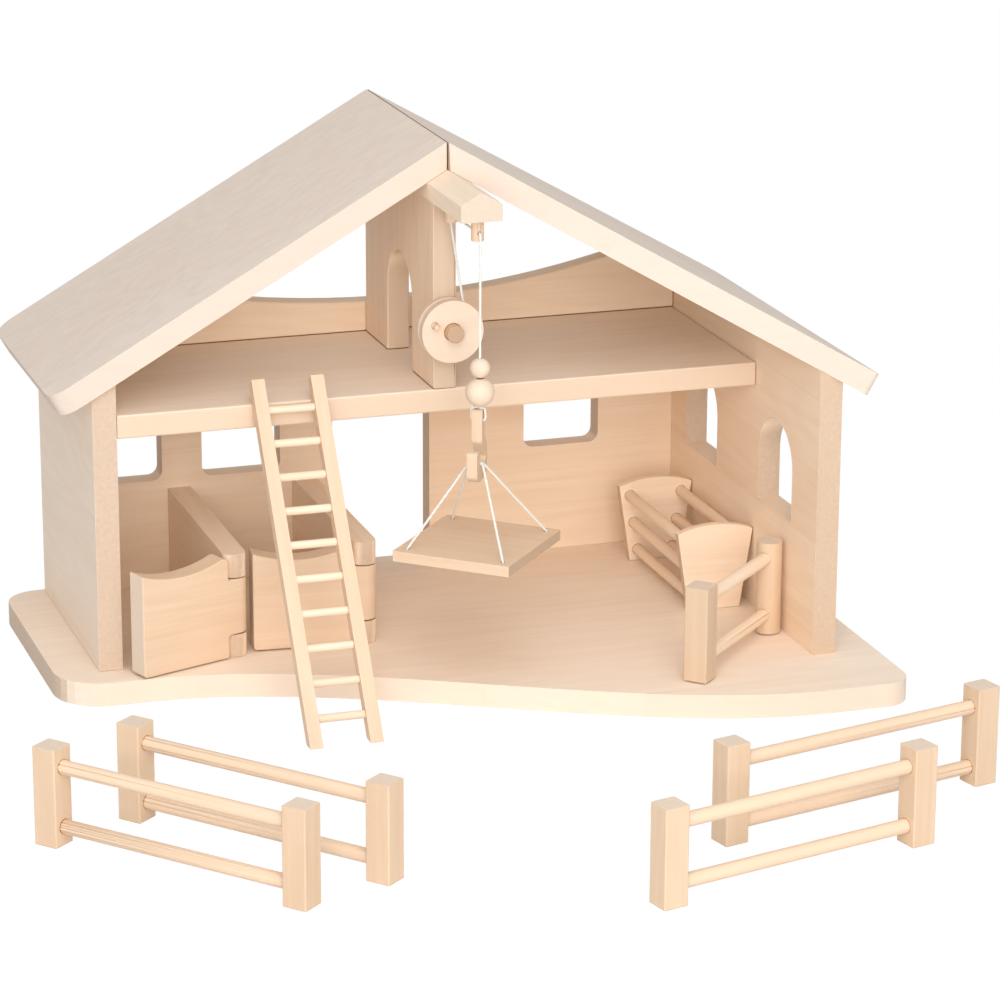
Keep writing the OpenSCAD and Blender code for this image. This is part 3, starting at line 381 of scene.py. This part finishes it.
def wood(name, grain, across, palette, seed, turn):
    """Pale wood with fine fibres, soft growth figure, glued staves and plainer end grain."""
    *tones, edge_share = PALETTES[palette]
    light, dark, end_tone, edge_tone_and_shade = (linear(c) for c in tones)
    material = bpy.data.materials.new(f"wood_{name}")
    n = Nodes(material)
    coord = n.add("ShaderNodeTexCoord")
    place, normal = coord.outputs["Object"], coord.outputs["Normal"]
    if grain == "ladder":
        grain = "y"
        place, normal = (n.turned(v, "X_AXIS", -LADDER_LEAN) for v in (place, normal))
    elif turn:
        place, normal = (n.turned(v, "Z_AXIS", -turn) for v in (place, normal))
    place = n.vector("ADD", place, tuple(seed * step for step in SEED_STEP))

    def stretched(along, over):
        scale = tuple(along if i == AXES[grain] else over for i in range(3))
        return n.vector("MULTIPLY", place, scale)

    def facing(axis):
        """1 where the surface looks along the axis, either way."""
        cosine = n.vector("DOT_PRODUCT", normal, tuple(float(i == AXES[axis]) for i in range(3)))
        return n.ramp(n.math("ABSOLUTE", cosine), *FACING)

    fibres = n.noise(stretched(*FIBRE_WAVES), detail=4.0, roughness=0.6)
    streaks = n.noise(stretched(*STREAK_WAVES), detail=3.0)
    drift = n.noise(stretched(*DRIFT_WAVES), detail=2.0)
    rings = n.math("SINE", n.math("MULTIPLY", drift, RING_STEP))
    rings = n.math("MULTIPLY", n.math("ADD", rings, 1.0), 0.5)
    cloud = n.noise(stretched(*CLOUD_WAVES), detail=1.0)

    # each stave has its own tint, and a thin glue line at its sides
    split = n.add("ShaderNodeSeparateXYZ")
    n.feed(split, place)
    stave = n.math("MULTIPLY", split.outputs[AXES[across]], 1 / STAVE_WIDTH)
    tint = n.add("ShaderNodeTexWhiteNoise", noise_dimensions="1D")
    n.put(tint, {"W": n.math("FLOOR", stave)})
    glue = n.math("ABSOLUTE", n.math("SUBTRACT", n.math("FRACT", stave), 0.5))
    glue = n.ramp(glue, *GLUE_LINE)

    amount = n.math("MULTIPLY", fibres, FIBRE_SHARE)
    for part, share in ((streaks, STREAK_SHARE), (rings, RING_SHARE), (cloud, CLOUD_SHARE),
                        (tint.outputs["Value"], STAVE_SHARE), (glue, GLUE_SHARE)):
        amount = n.math("MULTIPLY_ADD", part, share, amount)
    colour = n.mix(n.ramp(amount, *FIGURE_SUMS), light, dark)

    # the boards' sawn edges have a tone of their own; on the loft floor and the centre wall it is
    # darker, as painted shade on their edges
    colour = n.mix(n.math("MULTIPLY", facing(across), edge_share), colour, edge_tone_and_shade)

    # end grain where the surface faces along the grain
    speckle = n.noise(stretched(*SPECKLE_WAVES), detail=2.0)
    end = n.mix(n.math("MULTIPLY", speckle, SPECKLE_SHARE), end_tone, dark)
    colour = n.mix(n.math("MULTIPLY", facing(grain), END_SHARE), colour, end)

    # painted shade: the narrow seams between pieces are darkened where ambient occlusion finds
    # little open sky
    if name not in NO_SEAM_SHADE:
        seam_occlusion = n.add("ShaderNodeAmbientOcclusion", samples=SEAM_SHADE_SAMPLES)
        n.put(seam_occlusion, {"Distance": SEAM_SHADE_REACH})
        colour = n.mix(n.ramp(seam_occlusion.outputs["AO"], *SEAM_SHADE_OPEN), linear(PAINTED_SEAM_SHADE), colour)

    n.coat(colour, fibres, *WOOD_COAT)
    return material


def cord_material():
    """White cotton with a fine fuzz."""
    material = bpy.data.materials.new("cord_cotton")
    n = Nodes(material)
    place = n.add("ShaderNodeTexCoord").outputs["Object"]
    fuzz = n.noise(n.vector("MULTIPLY", place, (FUZZ_WAVES,) * 3), detail=3.0)
    colour = n.mix(n.ramp(fuzz, *FUZZ_RANGE), linear(CORD_COLOUR), linear(CORD_SHADE))
    n.put(n.coat(colour, fuzz, *CORD_COAT), {"Sheen Weight": CORD_SHEEN})
    return material


def soften(node, radius_mm):
    """Welds the imported faces, rounds the arrises and shades the flats flat."""
    weld = node.modifiers.new("weld", "WELD")
    weld.merge_threshold = WELD_REACH
    if radius_mm:
        flats = node.modifiers.new("flats", "DECIMATE")
        flats.decimate_type = "DISSOLVE"
        flats.angle_limit = FLAT_ANGLE
        bevel = node.modifiers.new("arrises", "BEVEL")
        bevel.width = radius_mm * MM
        bevel.segments = ARRIS_SEGMENTS
        bevel.limit_method = "ANGLE"
        bevel.angle_limit = ARRIS_ANGLE
        bevel.harden_normals = True
        bevel.use_clamp_overlap = True
        bevel.miter_outer = "MITER_ARC"


def dress_boards(nodes):
    """Gives every wooden node its grain and its softened edges."""
    looks = dict(BOARDS)
    for k, turn in enumerate(FENCE_TURNS, 1):
        for post in "ab":
            looks[f"fence_{k}_post_{post}"] = (*FENCE_POST, turn)
        looks[f"fence_{k}_rails"] = (*FENCE_RAILS, turn)
    for seed, (name, (grain, across, palette, radius, *turn)) in enumerate(looks.items()):
        node = nodes[name]
        material = wood(name, grain, across, palette, seed, math.radians(sum(turn)))
        node.data.materials.clear()
        node.data.materials.append(material)
        soften(node, radius)


def middle(name):
    """The middle of the node's box."""
    low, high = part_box(name)
    return (low + high) / 2


def smooth_path(points):
    """Catmull-Rom curve through the points, resampled evenly."""
    pts = [Vector(p) for p in points]
    pts = [2 * pts[0] - pts[1]] + pts + [2 * pts[-1] - pts[-2]]
    dense = []
    for a, b, c, d in zip(pts, pts[1:], pts[2:], pts[3:]):
        count = max(2, int((c - b).length / (CORD_STEP / 2)))
        for i in range(count):
            t = i / count
            dense.append(0.5 * (2 * b + (c - a) * t + (2 * a - 5 * b + 4 * c - d) * t * t
                                + (3 * b - a - 3 * c + d) * t ** 3))
    dense.append(pts[-2])
    even = [dense[0]]
    run = 0.0
    for p, q in zip(dense, dense[1:]):
        run += (q - p).length
        if run >= CORD_STEP:
            even.append(q)
            run = 0.0
    # the last point is left out only where it would all but double the one before
    if (even[-1] - dense[-1]).length > CORD_STEP * 0.2:
        even.append(dense[-1])
    return even


def twisted_cord(name, points, radius=CORD_R):
    """A three-strand laid cord swept along the points, closed at both ends."""
    path = smooth_path(points)
    count, around = len(path), CORD_SIDES
    verts, faces = [], []
    side = None
    travelled = 0.0
    for i, p in enumerate(path):
        ahead = (path[min(i + 1, count - 1)] - path[max(i - 1, 0)]).normalized()
        if side is None:
            side = ahead.orthogonal().normalized()
        side = (side - ahead * side.dot(ahead)).normalized()
        up = ahead.cross(side)
        if i:
            travelled += (p - path[i - 1]).length
        twist = 2 * math.pi * travelled / CORD_LAY
        for k in range(around):
            angle = 2 * math.pi * k / around
            wave = math.cos(CORD_STRANDS * angle - twist)
            reach = radius * (1 - CORD_GROOVE + CORD_GROOVE * wave)
            verts.append(p + (side * math.cos(angle) + up * math.sin(angle)) * reach)
    for i in range(count - 1):
        for k in range(around):
            a, b = i * around + k, i * around + (k + 1) % around
            faces.append((a, b, b + around, a + around))
    faces.append(tuple(reversed(range(around))))
    faces.append(tuple(range((count - 1) * around, count * around)))
    mesh = bpy.data.meshes.new(name)
    mesh.from_pydata([tuple(v) for v in verts], [], faces)
    mesh.polygons.foreach_set("use_smooth", [True] * len(mesh.polygons))
    mesh.update()
    return into_scene(name, mesh)


def knot(name, centre, radius):
    """A knot, as a cord coiled a little over one and a half times upwards."""
    axis = Vector((0, 0, 1))
    side = axis.orthogonal().normalized()
    up = axis.cross(side)
    points = []
    for i in range(KNOT_STEPS + 1):
        t = i / KNOT_STEPS
        angle = 2 * math.pi * KNOT_TURNS * t
        coil = (side * math.cos(angle) + up * math.sin(angle)) * radius * KNOT_COIL
        rise = axis * radius * (KNOT_HEIGHT * t - KNOT_HEIGHT / 2)
        points.append(Vector(centre) + coil + rise)
    return twisted_cord(name, points, radius * KNOT_CORD)


def winding_points(drum, low, high, reach):
    """Turns side by side round the drum, between the two corners of the wound cord's box."""
    span = high.y - low.y - 2 * CORD_R
    turns = span / (2 * CORD_R * WINDING_PITCH)
    steps = int(turns * WINDING_STEPS)
    points = []
    for i in range(steps + 1):
        angle = 2 * math.pi * turns * i / steps
        y = low.y + CORD_R + span * i / steps
        points.append((drum.x + reach * math.cos(angle), y, drum.z + reach * math.sin(angle)))
    return points


def add_cords():
    """Replaces the source's plain cords with laid cotton cords along the same routes."""
    cotton = cord_material()
    drum = middle("winch_drum")
    wrap_low, wrap_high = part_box("winch_cord_wrap")
    wrap_r = (wrap_high.z - wrap_low.z) / 2
    rear, front = middle("rear_guide_peg"), middle("front_guide_peg")
    hole_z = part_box("front_guide_peg")[0].z + PEG_HOLE_UP
    drop_low, drop_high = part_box("hoist_cord_drop")
    drop = middle("hoist_cord_drop")
    peg_r = (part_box("rear_guide_peg")[1].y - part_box("rear_guide_peg")[0].y) / 2

    def dress(piece, body, *replaced):
        piece.data.materials.append(cotton)
        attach(piece, body)
        if replaced:
            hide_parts(*replaced)

    # winding on the drum
    inner = wrap_r - CORD_R
    points = winding_points(drum, wrap_low, wrap_high, inner)
    dress(twisted_cord("winding", points), "winch", "winch_cord_wrap")

    # over the winding, up to the rear peg, through both pegs' holes and round to the drop
    outer = wrap_r + LEAD_LIFT * CORD_R
    points = []
    for i in range(LEAD_ARC_STEPS + 1):
        angle = math.radians(-LEAD_ARC + LEAD_ARC * i / LEAD_ARC_STEPS)
        reach = inner + (outer - inner) * min(1.0, i / LEAD_CLIMB_STEPS)
        points.append((drum.x + reach * math.cos(angle), drum.y, drum.z + reach * math.sin(angle)))
    end = Vector((rear.x, rear.y + peg_r + 1.5 * MM, hole_z))
    start = Vector(points[-1])
    points += [tuple(start.lerp(end, i / LEAD_RISE_STEPS)) for i in range(1, LEAD_RISE_STEPS)]
    points += [tuple(end + Vector((-0.3 * MM, -0.3 * MM, 0.6 * MM))),
               (rear.x, rear.y + peg_r * 0.5, hole_z)]
    points += [(rear.x, rear.y + (front.y - rear.y) * t, hole_z - RUN_SAG * math.sin(math.pi * t))
               for t in RUN_STEPS]
    points += [(front.x, front.y, hole_z), (front.x, front.y - peg_r, hole_z),
               (drop.x, drop.y + 0.8 * MM, hole_z - 0.5 * MM),
               (drop.x, drop.y, drop_high.z - 0.5 * MM)]
    dress(twisted_cord("lead", points), "barn", "hoist_cord_rise", "hoist_cord_run")

    # hanging cord; its lower end is in the bead
    hanging = twisted_cord("hanging", [
        (drop.x, drop.y, drop_high.z + 0.2 * MM),
        (drop.x, drop.y, (drop_high.z + drop_low.z) / 2),
        (drop.x, drop.y, drop_low.z - 4 * MM)])
    hanging.data.materials.append(cotton)
    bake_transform(hanging)
    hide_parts("hoist_cord_drop")

    # loop through the hook's eye
    loop_low, loop_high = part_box("hoist_cord_loop")
    hook_turn = math.radians(HOOK_TURN)
    across = Vector((math.cos(hook_turn), -math.sin(hook_turn), 0))
    forward = Vector((-math.sin(hook_turn), -math.cos(hook_turn), 0))
    half = HOOK_T / 2 + CORD_R + CLEAR
    eye_z, top_z = loop_low.z + BEND_R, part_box("hoist_hook")[1].z + CORD_R + CLEAR
    centre = Vector((drop.x, drop.y, 0)) - across * HOOK_OFF

    def at(s, z):
        return tuple(centre + across * s + Vector((0, 0, z)))

    loop = [at(HOOK_OFF, loop_high.z - 2 * MM), at(HOOK_OFF, top_z + 3 * MM),
            at(half * 0.55, top_z + 0.5 * MM), at(half * 0.95, top_z - 1.0 * MM),
            at(half + 0.5 * MM, (eye_z + top_z) / 2),
            at(half, eye_z + 1.2 * MM), at(half * 0.6, eye_z), at(-half * 0.6, eye_z),
            at(-half, eye_z + 1.2 * MM), at(-half, (eye_z + top_z) / 2),
            at(-half * 0.95, top_z - 1.0 * MM), at(-half * 0.4, top_z + 0.3 * MM),
            at(HOOK_OFF * 0.7, top_z + 2.2 * MM)]
    dress(twisted_cord("hook_loop", loop), "load_swivel", "hoist_cord_loop")

    # two sling cords over the hook's saddle, to knots in the platform's underside
    platform_low, platform_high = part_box("hoist_platform")
    saddle_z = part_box("hoist_slings")[1].z - BEND_R
    side_at = HOOK_T / 2 + BEND_R + CLEAR
    turn = Matrix.Rotation(math.radians(PLATFORM_TURN), 3, "Z")

    def hole(i, j, z):
        flat = Vector((i * (PLATFORM_HALF[0] - SLING_INSET),
                       j * (PLATFORM_HALF[1] - SLING_INSET), 0))
        return Vector((drop.x - PLATFORM_OFF, drop.y, z)) + turn @ flat

    def leg(s, end, mouth, saddle):
        """From the knot up to the saddle on side s of the hook: -1 left, 1 right."""
        bend = saddle + across * s * side_at + Vector((0, 0, saddle_z))
        return [end, end.lerp(mouth, SLING_MOUTH), mouth,
                *(mouth.lerp(bend, t) for t in SLING_STEPS),
                bend + Vector((0, 0, SLING_CROWN)) - across * s * SLING_SHOULDER * MM]

    for place, out, j in zip(("rear", "front"), SLING_OUT, (1, -1)):
        saddle = centre + forward * out
        mouths = [hole(i, j, platform_high.z) for i in (-1, 1)]
        ends = [hole(i, j, platform_low.z + KNOT_UP) for i in (-1, 1)]
        left, right = (leg(s, end, mouth, saddle) for s, end, mouth in zip((-1, 1), ends, mouths))
        piece = twisted_cord(f"sling_{place}", left + right[::-1])
        dress(piece, "load_swivel", *(["hoist_slings"] if place == "rear" else []))
        for side, end in zip(("left", "right"), ends):
            dress(knot(f"sling_knot_{place}_{side}", end, KNOT_R), "load_swivel")


def add_camera():
    """The photograph's view."""
    data = bpy.data.cameras.new("view")
    data.sensor_width = CAMERA_SENSOR
    data.lens = CAMERA_LENS
    data.clip_start, data.clip_end = CAMERA_CLIP
    camera = into_scene("view", data)
    turn = (Matrix.Rotation(math.radians(-CAMERA_YAW), 4, "Z")
            @ Matrix.Rotation(math.radians(90 - CAMERA_PITCH), 4, "X")
            @ Matrix.Rotation(math.radians(CAMERA_ROLL), 4, "Z"))
    camera.matrix_world = Matrix.Translation(CAMERA_PLACE) @ turn
    bpy.context.scene.camera = camera


def area_light(name, place, size, power, colour):
    """A square lamp turned to the barn."""
    data = bpy.data.lights.new(name, "AREA")
    data.shape = "SQUARE"
    data.size = size
    data.energy = power
    data.color = colour
    lamp = into_scene(name, data)
    lamp.location = place
    lamp.rotation_euler = (Vector(LAMP_AIM) - Vector(place)).to_track_quat("-Z", "Y").to_euler()


def add_studio():
    """White floor that shows white to the camera and keeps a faint shadow; soft light."""
    half = FLOOR_HALF
    mesh = bpy.data.meshes.new("floor")
    mesh.from_pydata([(-half, -half, 0), (half, -half, 0), (half, half, 0), (-half, half, 0)],
                     [], [(0, 1, 2, 3)])
    floor = into_scene("floor", mesh)
    floor.location.z = -FLOOR_SINK
    material = bpy.data.materials.new("floor_white")
    n = Nodes(material)
    diffuse = n.put(n.add("ShaderNodeBsdfDiffuse"), {"Color": FLOOR_GREY})
    glow = n.put(n.add("ShaderNodeEmission"), {"Strength": FLOOR_GLOW})
    seen = n.seen("Is Camera Ray", "Is Glossy Ray", "Is Transmission Ray")
    share = n.math("MULTIPLY", seen, FLOOR_GLOW_SHARE)
    n.surface(n.feed(n.add("ShaderNodeMixShader"), share, diffuse, glow))
    mesh.materials.append(material)

    world = bpy.data.worlds.new("studio")
    bpy.context.scene.world = world
    n = Nodes(world)
    light = n.put(n.add("ShaderNodeBackground"), {"Color": SKY_TINT, "Strength": SKY_LIGHT})
    white = n.put(n.add("ShaderNodeBackground"), {"Strength": 1.0})
    seen = n.seen("Is Camera Ray", "Is Glossy Ray")
    n.surface(n.feed(n.add("ShaderNodeMixShader"), seen, light, white), "ShaderNodeOutputWorld")

    for lamp in LAMPS:
        area_light(*lamp)


def main():
    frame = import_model()
    add_camera()
    dress_boards(frame["nodes"])
    add_cords()
    add_studio()
    bpy.context.scene.view_settings.view_transform = "Standard"
    bpy.context.view_layer.update()


main()
